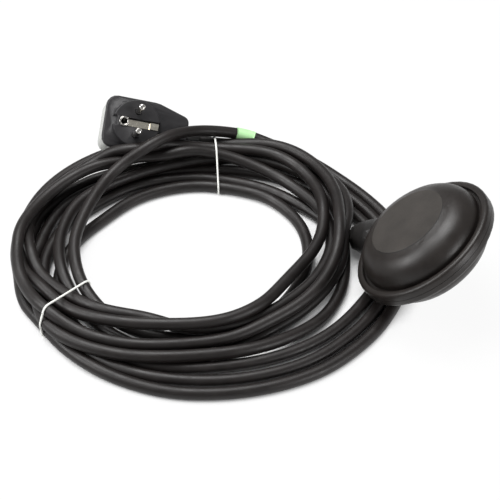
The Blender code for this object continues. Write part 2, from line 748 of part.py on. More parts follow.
# Front half: flanged cover, boss with its earth slot, holes for the pins
front = plate(
    "plug_front_housing", [housing_outline()], split_level, face_level, "plug_black", plug_frame, edge=HOUSING_EDGE
)
boss = turned("boss", rounded([
    (0.0, 0.0, 0.0),
    (BOSS_RADIUS, 0.0, 0.0010),
    (BOSS_RADIUS + 0.0008, face_level - 0.001, 0.0),
    (0.0, face_level - 0.001, 0.0),
], closed=False), "plug_black", plug_frame, None, 48)
join(front, boss)
cavity_top = face_level - PLUG_WALL
cavity = plate(
    "front_cavity", [housing_outline(PLUG_WALL)], split_level - 0.001, cavity_top, "", plug_frame, cutter=True
)
earth_slot = box(
    "earth_slot", (-SLEEVE_OFFSET, -EARTH_SLOT_WIDTH / 2, -EARTH_SLOT_DEPTH),
    (BOSS_RADIUS + 0.002, EARTH_SLOT_WIDTH / 2, 0.001), "", plug_frame, cutter=True
)
side_slot = box(
    "side_slot", (-BOSS_RADIUS - 0.002, -EARTH_SLOT_WIDTH / 2, -EARTH_SLOT_DEPTH),
    (-BOSS_RADIUS + 0.0032, EARTH_SLOT_WIDTH / 2, 0.001), "", plug_frame, cutter=True
)
carve(front, cavity, earth_slot, side_slot)
ring_radius = EARTH_HOLE_RADIUS + EARTH_RING_WALL
ring_hole = rod(
    "ring_hole", ring_radius + GAP, -0.012, 0.001, "", plug_frame, Matrix.Translation((-SLEEVE_OFFSET, 0, 0)), 24,
    cutter=True
)
carve(front, ring_hole)

pin_tail = cavity_top - 0.0030
for i, side in enumerate((1, -1)):
    name = ("upper", "lower")[i]
    spot = Matrix.Translation((0, side * PIN_PITCH / 2, 0))
    hole = rod(f"pin_hole_{name}", PLUG_PIN_RADIUS + GAP, -0.014, 0.001, "", plug_frame, spot, 20, cutter=True)
    carve(front, hole)
    turned(f"plug_pin_{name}", rounded([
        (0.0, PLUG_PIN_LENGTH, 0.0),
        (PLUG_PIN_RADIUS, PLUG_PIN_LENGTH, 0.0020),
        (PLUG_PIN_RADIUS, cavity_top - GAP, 0.0),
        (PLUG_PIN_RADIUS + 0.0012, cavity_top - GAP, 0.0),
        (PLUG_PIN_RADIUS + 0.0012, pin_tail, 0.0),
        (0.0, pin_tail, 0.0),
    ], closed=False), "pin_chrome", plug_frame, spot, 20)

# Earth strap across the boss, folded down at its sides, and the earth sleeve through it
strap_floor = -EARTH_SLOT_DEPTH + GAP
pad_level = -0.0012
t = STRAP_THICKNESS
strap_side = [
    (-SLEEVE_OFFSET, strap_floor), (BOSS_RADIUS - 0.0080, strap_floor), (BOSS_RADIUS - 0.0072, pad_level - t),
    (BOSS_RADIUS - 0.0012, pad_level - t), (BOSS_RADIUS - 0.0012, pad_level), (BOSS_RADIUS - 0.0078, pad_level),
    (BOSS_RADIUS - 0.0086, strap_floor + t), (-SLEEVE_OFFSET, strap_floor + t),
]
upright = Matrix.Rotation(math.pi / 2, 4, "X")
strap = plate(
    "plug_earth_strap", [rounded([(x, z, 0.0003) for x, z in strap_side])], -STRAP_WIDTH / 2, STRAP_WIDTH / 2,
    "earth_brass", plug_frame, upright
)
carve(strap, rod(
    "strap_hole", ring_radius + GAP, -0.008, 0.002, "", plug_frame, Matrix.Translation((-SLEEVE_OFFSET, 0, 0)), 24,
    cutter=True
))
turned("plug_earth_sleeve", rounded([
    (ring_radius, 0.0006, 0.0004),
    (ring_radius, cavity_top - 0.002, 0.0),
    (EARTH_HOLE_RADIUS, cavity_top - 0.002, 0.0),
    (EARTH_HOLE_RADIUS, 0.0006, 0.0004),
]), "pin_chrome", plug_frame, Matrix.Translation((-SLEEVE_OFFSET, 0, 0)), 24)

# Back half: light grey, with a round socket well, contact holes and an earth bracket
back = plate(
    "plug_rear_housing", [housing_outline(0.0004)], back_level, split_level - GAP, "plug_grey", plug_frame,
    edge=HOUSING_EDGE
)
well_floor = back_level + SOCKET_DEPTH
well = turned("socket_well", rounded([
    (0.0, well_floor, 0.0),
    (SOCKET_RADIUS - 0.0005, well_floor, 0.0008),
    (SOCKET_RADIUS, back_level - 0.001, 0.0),
    (0.0, back_level - 0.001, 0.0),
], closed=False), "", plug_frame, None, 48, cutter=True)
carve(back, well)
contact_top = split_level - GAP - 0.0004
for i, side in enumerate((1, -1)):
    name = ("upper", "lower")[i]
    spot = Matrix.Translation((0, side * PIN_PITCH / 2, 0))
    carve(back, rod(
        f"contact_hole_{name}", PLUG_PIN_RADIUS + GAP * 2, well_floor - 0.001, contact_top + 0.002, "", plug_frame,
        spot, 20, cutter=True
    ))
    low = split_level
    turned(f"socket_contact_{name}", [
        (PLUG_PIN_RADIUS + GAP * 2 + CONTACT_WALL, pin_tail - GAP),
        (PLUG_PIN_RADIUS + GAP * 2 + CONTACT_WALL, low),
        (PLUG_PIN_RADIUS + GAP, low),
        (PLUG_PIN_RADIUS + GAP, pin_tail - GAP),
    ], "earth_brass", plug_frame, spot, 20)

clip_reach = SOCKET_RADIUS - 0.0016
c = CLIP_THICKNESS
bracket_side = [
    (-clip_reach, well_floor - GAP), (clip_reach, well_floor - GAP), (clip_reach, back_level + 0.0030),
    (clip_reach - 0.0022, back_level + 0.0015), (clip_reach - 0.0028, back_level + 0.0021),
    (clip_reach - c, back_level + 0.0034), (clip_reach - c, well_floor - GAP - c),
    (-clip_reach + c, well_floor - GAP - c), (-clip_reach + c, back_level + 0.0034),
    (-clip_reach + 0.0028, back_level + 0.0021), (-clip_reach + 0.0022, back_level + 0.0015),
    (-clip_reach, back_level + 0.0030),
]
plate(
    "socket_earth_bracket", [[Vector(p) for p in bracket_side]], -CLIP_WIDTH / 2, CLIP_WIDTH / 2, "earth_brass",
    plug_frame, upright
)

# Screws from the back into the front half, in bosses of the back half
screw_seat = back_level + 0.0022
screw_turn = Matrix.Rotation(math.pi, 4, "X")
for i, (x, y) in enumerate(HOUSING_SCREW_SPOTS):
    spot = Matrix.Translation((x, y, 0))
    carve(back, rod(
        f"screw_sink_{i}", HEAD_RADIUS + GAP, back_level - 0.001, screw_seat, "", plug_frame, spot, 16, cutter=True
    ))
    carve(back, rod(
        f"screw_way_{i}", SCREW_RADIUS + GAP, back_level, split_level, "", plug_frame, spot, 12, cutter=True
    ))
    post = rod(
        f"front_post_{i}", POST_RADIUS, split_level + 0.0002, cavity_top + 0.001, "plug_black", plug_frame, spot, 14
    )
    join(front, post)
    carve(front, rod(
        f"front_pilot_{i}", SCREW_RADIUS + GAP, split_level - 0.001, split_level + 0.0065, "", plug_frame, spot, 12,
        cutter=True
    ))
screws(
    "plug_housing_screw", [(x, -y) for x, y in HOUSING_SCREW_SPOTS], -screw_seat + GAP, -split_level - 0.0058,
    plug_frame, screw_turn
)

# Cable entry: half a hole in each half, the cord grip inside and the rubber boot outside
cable_level = split_level - GAP / 2
entry = Matrix.Translation((0, 0, cable_level)) @ plug_along
grip_start = tail - 0.0205
cable_end = grip_start - 0.0025
entry_hole = rod(
    "entry_hole", cable_radius + GAP, cable_end - GAP, tail + 0.002, "", plug_frame, entry, 24, cutter=True
)
carve(front, entry_hole)
carve(back, entry_hole)
boot_end = tail + GAP + BOOT_LENGTH
turned("plug_boot", rounded([
    (BOOT_RADIUS, tail + GAP, 0.0010),
    (BOOT_TIP_RADIUS, boot_end, 0.0008),
    (bore, boot_end, 0.0),
    (bore, tail + GAP, 0.0),
])[::-1], "seal_rubber", plug_frame, entry, 32)

carve(coil, plate(
    "plug_space", [housing_outline(-GAP)], back_level - GAP, PLUG_WALL, "", plug_frame, cutter=True
))

# Lead from the plug, over the coil's outer turn and down into the coil
plug_place = plug_frame.matrix_world
lead_start = plug_place @ Vector((cable_end, 0, cable_level))
boot_mouth = plug_place @ Vector((boot_end + 0.002, 0, cable_level))
lead_route = [
    boot_mouth,
    boot_mouth + plug_place.to_3x3() @ Vector((0.010, 0, 0)) + Vector((0, -0.0004, 0)),
    around(math.radians(76), 0.1300, 0.0150),
    around(math.radians(68), 0.1262, 0.0146),
    around(math.radians(60), 0.1215, 0.0146),
    around(math.radians(53), 0.1165, 0.0146),
    around(math.radians(47), 0.1120, 0.0146),
]


def smooth_route(points, per_span=3):
    # Points of a smooth curve through the given ones
    out = []
    for i in range(len(points) - 1):
        before = points[max(i - 1, 0)]
        a = points[i]
        b = points[i + 1]
        after = points[min(i + 2, len(points) - 1)]
        for k in range(per_span):
            s = k / per_span
            pull_a = (b - before) / 2
            pull_b = (after - a) / 2
            out.append(
                a * (2 * s ** 3 - 3 * s ** 2 + 1) + pull_a * (s ** 3 - 2 * s ** 2 + s)
                + b * (3 * s ** 2 - 2 * s ** 3) + pull_b * (s ** 3 - s ** 2)
            )
    out.append(points[-1])
    return out


route = [lead_start] + smooth_route(lead_route)
tube("cable_lead_plug", route, cable_radius, "rubber")
last = (route[-1] - route[-2]).normalized()
carve(coil, tube(
    "lead_groove", route[:-1] + [route[-1] + last * GAP], cable_radius + GAP, "", cutter=True
))


# Two strings tied round the coil, sunk in shallow grooves underneath

def string_path(angle, extra=()):
    # The tight line round the coil's section, and round anything extra, seen at one angle
    circles = [
        (COIL_INNER_RADIUS + 0.0065, coil_height - 0.0065, 0.0065),
        (COIL_INNER_RADIUS + 0.0040, 0.0040, 0.0040),
        (COIL_OUTER_RADIUS - 0.0035, 0.0035, 0.0035),
        (COIL_OUTER_RADIUS - 0.0040, lip_height - 0.0040, 0.0040),
        (COIL_OUTER_RADIUS - cable_radius * 2 - CABLE_DIAMETER * 0.9 - 0.0035, coil_height - 0.0060, 0.0060),
        *extra,
    ]
    out = STRING_DIAMETER / 2 + GAP
    low = STRING_DIAMETER / 2 + GAP / 2
    cloud = [
        (r + (size + out) * math.cos(a), max(low, z + (size + out) * math.sin(a)))
        for r, z, size in circles
        for a in (2 * math.pi * k / 20 for k in range(20))
    ]
    cloud = sorted(set((round(r, 7), round(z, 7)) for r, z in cloud))

    def chain(points):
        kept = []
        for p in points:
            while len(kept) > 1 and (
                (kept[-1][0] - kept[-2][0]) * (p[1] - kept[-2][1]) - (kept[-1][1] - kept[-2][1]) * (p[0] - kept[-2][0])
            ) <= 1e-12:
                kept.pop()
            kept.append(p)
        return kept[:-1]

    return [around(angle, r, z) for r, z in chain(cloud) + chain(cloud[::-1])]


def lead_at(angle):
    # Where the plug's lead crosses the radial plane of this angle
    across = Vector((-math.sin(angle), math.cos(angle), 0.0))
    for a, b in zip(route, route[1:]):
        before = (a - coil_centre).dot(across)
        after = (b - coil_centre).dot(across)
        if before >= 0 > after:
            hit = a.lerp(b, before / (before - after)) - coil_centre
            return (math.hypot(hit.x, hit.y), hit.z, cable_radius)
    return None


for name, angle in (("back", BACK_STRING_ANGLE), ("front", FRONT_STRING_ANGLE)):
    crossing = lead_at(angle) if name == "back" else None
    tube(
        f"string_tie_{name}", string_path(angle, (crossing,) if crossing else ()), STRING_DIAMETER / 2, "string",
        resolution=1, cyclic=True
    )
    turn = at_coil @ Matrix.Rotation(angle, 4, "Z")
    groove_half = STRING_DIAMETER / 2 + GAP
    carve(coil, box(
        f"string_groove_{name}", (COIL_INNER_RADIUS - 0.01, -groove_half, -0.002),
        (COIL_OUTER_RADIUS + 0.01, groove_half, STRING_DIAMETER + GAP * 1.5), "", None, turn, cutter=True
    ))

# Cord grip inside the plug: a saddle over the cable, and its two screws into the back half
saddle_low = cable_level + cable_radius + GAP
saddle_high = saddle_low + 0.0022
saddle_spots = [(grip_start + 0.0030, side * GRIP_SCREW_Y) for side in (1, -1)]
saddle = box(
    "cord_grip", (grip_start, -GRIP_SCREW_Y - 0.0030, saddle_low),
    (grip_start + 0.0060, GRIP_SCREW_Y + 0.0030, saddle_high), "carrier_plastic", plug_frame, bevel=0.0004
)
for i, (x, y) in enumerate(saddle_spots):
    way = rod(
        f"grip_way_{i}", SCREW_RADIUS + GAP, split_level - 0.0062, saddle_high + 0.001, "", plug_frame,
        Matrix.Translation((x, y, 0)), 12, cutter=True
    )
    carve(saddle, way)
    carve(back, way)
screws("cord_grip_screw", saddle_spots, saddle_high + GAP, split_level - 0.0058, plug_frame)
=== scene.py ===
import math

import bmesh
import bpy
import numpy as np
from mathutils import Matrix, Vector
from mathutils.bvhtree import BVHTree


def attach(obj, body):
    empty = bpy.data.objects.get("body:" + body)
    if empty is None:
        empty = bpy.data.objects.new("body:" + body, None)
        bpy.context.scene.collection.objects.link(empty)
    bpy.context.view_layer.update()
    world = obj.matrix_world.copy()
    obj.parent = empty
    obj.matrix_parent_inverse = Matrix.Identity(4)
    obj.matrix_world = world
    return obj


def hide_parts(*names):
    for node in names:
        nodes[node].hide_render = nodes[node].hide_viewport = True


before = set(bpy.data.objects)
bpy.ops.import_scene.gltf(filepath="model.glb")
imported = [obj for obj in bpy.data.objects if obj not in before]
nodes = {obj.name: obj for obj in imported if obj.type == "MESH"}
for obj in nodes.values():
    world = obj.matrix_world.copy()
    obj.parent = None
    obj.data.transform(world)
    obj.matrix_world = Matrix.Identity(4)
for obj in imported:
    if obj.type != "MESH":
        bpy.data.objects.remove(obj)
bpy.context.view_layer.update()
scene = bpy.context.scene
mm = 0.001

view = {"from": (-0.1246, -0.8517, 0.7597), "at": (-0.1246, 0.0468, -0.0493), "lens": 115.2, "far": 20}
cameraData = bpy.data.cameras.new("camera")
cameraData.lens = view["lens"]
cameraData.sensor_width = 36
cameraData.clip_end = view["far"]
camera = bpy.data.objects.new("camera", cameraData)
camera.location = view["from"]
camera.rotation_euler = (Vector(view["at"]) - camera.location).to_track_quat("-Z", "Y").to_euler()
scene.collection.objects.link(camera)
scene.camera = camera
print("camera done")

cord = {
    "diameter": 0.009,
    "sides": 20,
    "tightestBend": 0.037,
    "coarseStep": 0.006,    # of the points that are settled
    "step": 0.0025,         # of the finished line
    "rounds": 200,
    "quickRounds": 40,
    "clear": 1.01,          # centre to centre, in diameters
    "pullAcross": 0.10,     # back to where it was laid, across the photograph's view
    "pullAlong": 0.01,      # and along it
    "freeRounds": 15,       # at the end, without that pull
    "evenOut": 0.45,
    "unbend": 0.6,
}
cableDiameter = cord["diameter"]
floorLevel = -0.049291
coilCentre = Vector((-0.1676, 0.0288, floorLevel))
cordExit = Vector((-0.045747, 0.050275, -0.039067))
glandWay = Vector((-0.583502, 0.64126, -0.498308))
ringCentre = Vector((-0.1676, 0.0268, floorLevel))
plugRoute = [
    ringCentre + Vector((0.0131, 0.1324, 0.0141)),
    ringCentre + Vector((0.0035, 0.1324, 0.0167)),
    ringCentre + Vector((-0.0140, 0.1316, 0.0216)),
    ringCentre + Vector((-0.0314, 0.1308, 0.0264)),
]

# Each turn runs from the front, at 270 degrees, round to the front again.
# A key is its angle in degrees, and its radius and height in mm.
firstTurn = [
    (12.2, 120.9, 7.7), (14.6, 118.2, 6.1), (17.6, 115.1, 5.4), (23.3, 110.6, 4.9), (34, 106, 4.6),
    (47, 102, 4.5), (60, 99.5, 4.5), (90, 98, 4.5), (120, 99, 4.5), (150, 103, 4.5),
    (165, 107, 4.5), (180, 110, 4.5), (200, 113, 4.5), (215, 115.5, 4.5), (230, 118, 4.5),
    (250, 120, 4.5),
]
turns = [
    [   # out under the float, behind the plug and back outside
        (270, 121.6, 4.5), (290, 126.3, 4.5), (310, 133.6, 4.5), (330, 140, 4.5),
        (345, 145.8, 4.5), (355, 150.2, 4.5), (362, 151.8, 4.5), (370, 150.8, 4.5),
        (380, 146.5, 4.5), (390, 142.5, 4.5), (400, 139.5, 4.5), (410, 138, 4.5),
        (420, 137.8, 4.5), (430, 139, 4.5), (440, 141.5, 4.5), (450, 144.5, 4.5),
        (460, 146.8, 4.5), (470, 148, 4.5), (480, 147.5, 4.5), (490, 146.5, 4.5),
        (500, 144.5, 4.5), (510, 141.3, 4.5), (520, 137, 4.5), (530, 131, 4.5), (540, 127.2, 4.5),
        (555, 125.3, 4.5), (570, 124.3, 4.5), (585, 124, 4.5), (600, 127, 4.5), (615, 130.2, 4.5),
    ],
    [   # the widest turn, which rises over the plug at the back and drops inside at the left
        (270, 133.6, 4.5), (290, 138.3, 4.5), (310, 145.4, 4.5), (330, 151, 4.5),
        (345, 155.5, 4.5), (355, 159.4, 4.5), (362, 161, 4.5), (370, 160, 4.5), (380, 155.5, 4.5),
        (390, 151, 5), (400, 147, 6.5), (410, 144.2, 9), (420, 141.5, 13), (430, 138.4, 19),
        (440, 132.7, 25), (445, 128.2, 28.5), (450, 123.2, 32), (455, 117.2, 34.5),
        (460, 112.9, 35), (465, 109.7, 34.5), (470, 107, 33.3), (475, 105.1, 31.5),
        (480, 103.1, 29.7), (490, 99, 27), (500, 94, 25), (510, 90.1, 24), (520, 87.6, 22.5),
        (530, 87.2, 21.3), (540, 87, 20), (560, 86.5, 17.2), (570, 86, 15), (580, 86, 12),
        (590, 85.5, 9.5), (600, 84.5, 7.3), (615, 82, 5.2),
    ],
    [   # the innermost turn
        (270, 80, 4.5), (290, 79.8, 4.5), (310, 81, 4.5), (330, 81, 4.5), (345, 82.5, 4.5),
        (360, 86, 4.5), (380, 90, 4.5), (395, 92, 4.5), (410, 92.5, 4.5), (420, 92.2, 4.5),
        (450, 88.5, 4.5), (480, 86, 4.5), (510, 85, 4.5), (520, 88.5, 4.5), (530, 92, 4.5),
        (540, 95.5, 4.5), (550, 99, 4.5), (560, 102.5, 4.5), (575, 106, 4.5), (590, 108, 4.5),
        (610, 110, 4.5),
    ],
    [   # flat on the floor, and climbing at the left
        (270, 110, 4.5), (290, 112.5, 4.5), (300, 115.8, 4.5), (310, 119.9, 4.5), (320, 124, 4.5),
        (330, 128, 4.5), (345, 135, 4.5), (355, 140.8, 4.5), (362, 142.6, 4.5), (370, 141.6, 4.5),
        (380, 136.5, 4.5), (390, 130.5, 4.5), (405, 123, 4.5), (420, 116, 4.5), (435, 110.5, 4.5),
        (450, 107.8, 4.5), (465, 108, 4.5), (480, 111, 4.5), (495, 116, 4.5), (510, 119, 4.5),
        (540, 119.5, 4.5), (555, 120.5, 6), (570, 122.5, 9.5), (585, 122.8, 12), (600, 117, 12.4),
        (615, 110, 12.4),
    ],
    [   # down to the floor at the right, and over the lower turns at the back
        (270, 105.5, 12.4), (290, 106.7, 12), (300, 107.7, 10.5), (310, 109, 8.5), (320, 110.5, 6),
        (330, 113, 4.6), (345, 114, 4.8), (355, 113, 6.5), (363, 113.5, 9.5), (370, 115, 12),
        (380, 118, 13.3), (390, 121.5, 12.8), (400, 125, 12), (410, 126.3, 12), (420, 124, 12.8),
        (430, 120.5, 12.8), (440, 114.5, 13), (450, 109, 13), (465, 104.5, 13), (480, 103, 13),
        (495, 104.5, 13.2), (510, 105.5, 13.2), (530, 101, 12.7), (540, 98.5, 12.3),
        (550, 96.5, 11.3), (560, 95, 9.7), (575, 93.5, 6.5), (590, 93.8, 4.7), (610, 96.3, 4.5),
    ],
    [   # over the gland's side, low at the back and on top at the left
        (270, 98.5, 4.5), (290, 96.5, 4.7), (300, 94.8, 5.8), (310, 94.6, 6.5), (320, 95.6, 6.2),
        (330, 98.4, 6.5), (340, 103.4, 9.5), (350, 108.4, 12.5), (357, 111.3, 15.5),
        (363, 113.3, 19), (370, 116.7, 22), (376, 121, 22.2), (383, 126.5, 20.5),
        (390, 131.5, 17.8), (400, 135, 14.5), (410, 134.5, 12.8), (420, 131, 11.5),
        (430, 126.5, 9), (440, 121.5, 6.5), (450, 118, 4.8), (465, 117, 4.5), (475, 118.8, 4.5),
        (485, 123, 4.5), (495, 126.5, 4.5), (515, 128.5, 4.6), (530, 128, 5.5), (540, 125.5, 8),
        (550, 121, 11.5), (560, 113.5, 14.5), (570, 109.3, 15.7), (580, 105.3, 18), (590, 99, 20),
        (600, 93.3, 21), (610, 88.5, 21.7), (620, 85.3, 22.2),
    ],
    [   # the turn that shows inside at the front, and then under the first arch at the back
        (270, 84, 22.3), (290, 82.6, 21.5), (310, 80, 20), (330, 77.5, 19), (340, 79.5, 18.5),
        (350, 84.2, 18.5), (360, 91, 18.5), (370, 98, 19), (380, 104.7, 19.5), (390, 112, 20),
        (400, 118, 20.6), (410, 122, 21), (418, 123.5, 21.2), (426, 122, 20.8), (433, 119, 20.5),
        (440, 116.5, 20.5), (447, 114.5, 22), (455, 112.8, 25), (463, 111.8, 28),
        (470, 111.5, 29.5), (478, 114.5, 29.5), (486, 118.3, 27), (494, 122.3, 23.5),
        (502, 126, 19.5), (510, 128.3, 16), (520, 129, 13.4), (530, 126.5, 12.3), (538, 122, 12.8),
        (550, 115.2, 13.5), (560, 106, 14), (570, 98, 15), (580, 92.9, 17), (590, 87.4, 18),
        (600, 81.3, 17.5), (610, 77, 16), (620, 78, 14.5),
    ],
    [   # a second arch behind the plug
        (270, 80, 13.5), (290, 81.5, 13), (310, 84, 12.7), (330, 88.7, 12.5), (340, 93, 12.5),
        (350, 97, 12.3), (360, 101.7, 12), (370, 106, 12), (380, 108.3, 12.3), (390, 109, 12.5),
        (410, 109, 13.5), (420, 108.5, 15.5), (430, 107.5, 19.5), (440, 106.5, 23),
        (450, 106.3, 25.5), (460, 106, 27), (470, 106.8, 27.5), (480, 111.3, 27), (490, 116.3, 25),
        (500, 121.5, 22.5), (510, 125.3, 20.8), (525, 128.2, 21), (540, 128.3, 20.5),
        (550, 127.5, 19.5), (560, 125.5, 18.5), (570, 122, 17.5), (580, 118, 17), (590, 113.5, 16),
        (600, 108, 15), (610, 102.3, 14), (620, 97, 13),
    ],
    [   # the last turn arches over the back and ends in the plug
        (270, 93.5, 12.4), (290, 93, 13.2), (310, 93.2, 15.5), (320, 96.6, 17), (330, 99.8, 18.5),
        (340, 102.6, 19.5), (350, 105.3, 21), (360, 108.3, 23), (370, 112, 25), (380, 117, 25.5),
        (390, 123.5, 24.5), (400, 129.5, 23), (410, 134, 21.7), (418, 135.3, 21), (426, 134, 19.5),
        (435, 131, 16.8),
    ],
]


def around(angle, radius, height):
    turned = math.radians(angle)
    return coilCentre + Vector((radius * math.cos(turned), radius * math.sin(turned), height)) * mm


routeKeys = [around(*key) for turn in [firstTurn] + turns for key in turn]
floatRoute = [cordExit - glandWay * 0.012, cordExit - glandWay * 0.004, cordExit]
corners = np.array(floatRoute + routeKeys + plugRoute)


def smoothLine(points, spacing):
    # A smooth line through the points, in even steps
    pieces = 24
    fine = []
    for i in range(len(points) - 1):
        before = points[max(i - 1, 0)]
        a = points[i]
        b = points[i + 1]
        after = points[min(i + 2, len(points) - 1)]
        chord = np.linalg.norm(b - a)
        pullA = (b - before) / (np.linalg.norm(b - a) + np.linalg.norm(a - before) + 1e-9) * chord
        pullB = (after - a) / (np.linalg.norm(after - b) + chord + 1e-9) * chord
        for k in range(pieces):
            s = k / pieces
            fine.append(
                a * (2 * s ** 3 - 3 * s ** 2 + 1) + pullA * (s ** 3 - 2 * s ** 2 + s)
                + b * (3 * s ** 2 - 2 * s ** 3) + pullB * (s ** 3 - s ** 2)
            )
    fine.append(points[-1])
    return evenLine(np.array(fine), spacing)


def evenLine(points, spacing):
    steps = np.linalg.norm(np.diff(points, axis=0), axis=1)
    along = np.concatenate([[0], np.cumsum(steps)])
    count = int(round(along[-1] / spacing)) + 1
    places = np.linspace(0, along[-1], count)
    return np.stack([np.interp(places, along, points[:, k]) for k in range(3)], axis=1)


def hullTree(*names):
    shape = bmesh.new()
    for name in names:
        for vertex in nodes[name].data.vertices:
            shape.verts.new(nodes[name].matrix_world @ vertex.co)
    bmesh.ops.convex_hull(shape, input=shape.verts)
    tree = BVHTree.FromBMesh(shape)
    shape.free()
    return tree


def keepOut(line, tree, ahead):
    # The way out of a solid for the points of the line: ahead where they lie inside it
    reach = 0.03
    longest = 0.002
    play = 0.0002
    way = np.zeros_like(line)
    for i, spot in enumerate(line):
        near, normal, face, far = tree.find_nearest(Vector(spot), reach)
        if near is None:
            continue
        if (Vector(spot) - near).dot(normal) < 0:
            way[i] = ahead * min(far + cableDiameter / 2, longest)
        elif far < cableDiameter / 2:
            way[i] = normal * (cableDiameter / 2 + play - far)
    return way


def settle(line, rounds, spacing):
    # Pushes the turns apart to one diameter, above the floor, off the plug and the gland and near
    # where they were laid, and they give way in the photograph's view direction sooner than across it
    ownLength = 0.035      # a turn isn't pushed off its own next part
    heldEnd = 0.018
    plugEnd = 0.09         # the length at each end that belongs in the plug or the gland
    glandEnd = 0.06
    home = line.copy()
    count = len(line)
    apart = int(ownLength / spacing)
    index = np.arange(count)
    lowest = floorLevel + cableDiameter / 2
    free = (np.minimum(index, count - 1 - index) * spacing > heldEnd)[:, None]
    offPlug = (index < count - int(plugEnd / spacing))[:, None]
    offGland = (index > int(glandEnd / spacing))[:, None]
    for step in range(rounds):
        square = (line ** 2).sum(1)
        gaps = square[:, None] + square[None, :] - 2 * line @ line.T
        first, second = np.where(np.triu(gaps < (cableDiameter * 1.005) ** 2, apart))
        away = line[first] - line[second]
        far = np.linalg.norm(away, axis=1)[:, None] + 1e-9
        shift = away / far * (cableDiameter * cord["clear"] - far) * 0.5
        push = np.zeros_like(line)
        hits = np.zeros((count, 1))
        np.add.at(push, first, shift)
        np.add.at(push, second, -shift)
        np.add.at(hits, first, 1)
        np.add.at(hits, second, 1)
        move = push / np.sqrt(np.maximum(hits, 1))
        back = home - line
        deep = (back @ viewWay)[:, None] * viewWay
        if step < rounds - cord["freeRounds"]:
            move += (back - deep) * cord["pullAcross"] + deep * cord["pullAlong"]
        move += keepOut(line, plugHull, plugFront) * offPlug + keepOut(line, glandHull, coilWay) * offGland
        even = (4 * (line[1:-3] + line[3:-1]) - line[:-4] - line[4:]) / 6
        move[2:-2] += (even - line[2:-2]) * cord["evenOut"]
        sag = line[3:-3] - (line[:-6] + line[6:]) / 2
        depth = np.linalg.norm(sag, axis=1)[:, None] + 1e-9
        most = (3 * spacing) ** 2 / (2 * cord["tightestBend"])
        move[3:-3] -= sag * np.maximum(0, 1 - most / depth) * cord["unbend"]
        line = line + free * move
        line[:, 2] = np.maximum(line[:, 2], lowest)
    return line


viewWay = np.array((0, -0.743, 0.669))                   # towards the camera
plugFront = np.array((0.231, -0.637, 0.736)) / 1.0004    # out of the plug's front, to unit length
coilWay = np.array((-0.9, 0, 0.436))                     # off the gland, towards the coil
plugHull = hullTree("plug_front_housing", "plug_rear_housing", "plug_boot")
glandHull = hullTree("gland_nut", "gland_body", "cable_sleeve")
rounds = cord["rounds"]
cordLine = settle(smoothLine(corners, cord["coarseStep"]), rounds, cord["coarseStep"])
cordLine = smoothLine(cordLine, cord["step"])
print("cord route done")


def tube(name, line, radius, sides=16, closed=False):
    # A round tube along the line, with its UVs round it and in metres along it
    line = np.asarray(line)
    ahead = np.roll(line, -1, 0) - np.roll(line, 1, 0)
    if not closed:
        ahead[0] = line[1] - line[0]
        ahead[-1] = line[-1] - line[-2]
    ahead /= np.linalg.norm(ahead, axis=1)[:, None]
    radii = np.broadcast_to(radius, len(line))
    shape = bmesh.new()
    uv = shape.loops.layers.uv.new("UVMap")
    side = Vector(ahead[0]).orthogonal().normalized()
    rings = []
    for spot, way, reach in zip(line, ahead, radii):
        way = Vector(way)
        side = (side - way * side.dot(way)).normalized()
        up = way.cross(side)
        rings.append([
            shape.verts.new(Vector(spot) + (side * math.cos(t) + up * math.sin(t)) * reach)
            for t in (2 * math.pi * k / sides for k in range(sides))
        ])
    along = np.concatenate([[0], np.cumsum(np.linalg.norm(np.diff(line, axis=0), axis=1))])
    last = len(rings) if closed else len(rings) - 1
    for i in range(last):
        j = (i + 1) % len(rings)
        ends = (along[i], along[i + 1] if i + 1 < len(along) else along[-1] + 0.001)
        for k in range(sides):
            n = (k + 1) % sides
            face = shape.faces.new((rings[i][k], rings[j][k], rings[j][n], rings[i][n]))
            face.smooth = True
            spots = ((k, ends[0]), (k, ends[1]), (k + 1, ends[1]), (k + 1, ends[0]))
            for loop, (turn, far) in zip(face.loops, spots):
                loop[uv].uv = (turn / sides, far)
    if not closed:
        shape.faces.new(rings[0][::-1])
        shape.faces.new(rings[-1])
    shape.normal_update()
    data = bpy.data.meshes.new(name)
    shape.to_mesh(data)
    shape.free()
    made = bpy.data.objects.new(name, data)
    scene.collection.objects.link(made)
    return made


cable = tube("cable", cordLine, cableDiameter / 2, cord["sides"])
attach(cable, "body")
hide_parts("cable_coil", "cable_lead_float", "cable_lead_plug")
print("cable done")

# The angle run through from the float, which names a place on the cord
firstAngle = 10.0
cordAngles = np.unwrap(np.arctan2(cordLine[:, 1] - coilCentre.y, cordLine[:, 0] - coilCentre.x))
cordAngles = np.degrees(cordAngles - cordAngles[0]) + firstAngle
highTurn = 720     # the widest turn's, where it passes the right
paper = {"from": highTurn + 74.0, "to": highTurn + 80.4, "thickness": 0.0004, "sides": 32, "step": 0.0012}


def cordBetween(low, high):
    inside = (cordAngles > low) & (cordAngles < high)
    return cordLine[inside]


labelLine = smoothLine(cordBetween(paper["from"], paper["to"]), paper["step"])
label = tube("cable_label", labelLine, cableDiameter / 2 + paper["thickness"], paper["sides"])
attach(label, "body")
print("label done")

def tiePlane(outer, inner):
    # The upright plane through two places given by angle and radius
    a = around(outer[0], outer[1], 0)
    b = around(inner[0], inner[1], 0)
    along = (b - a).normalized()
    return a, along, Vector((-along.y, along.x, 0))


def crossings(origin, along, normal, skip):
    # Where the cord passes through the plane: distance along it and height above the floor
    side = (cordLine - np.array(origin)) @ np.array(normal)
    found = []
    for i in np.where(side[:-1] * side[1:] < 0)[0]:
        share = side[i] / (side[i] - side[i + 1])
        spot = cordLine[i] * (1 - share) + cordLine[i + 1] * share
        distance = float((spot - np.array(origin)) @ np.array(along))
        skipped = any(low < cordAngles[i] < high for low, high in skip)
        if tieReach[0] < distance < tieReach[1] and not skipped:
            found.append((distance, float(spot[2] - floorLevel)))
    return found


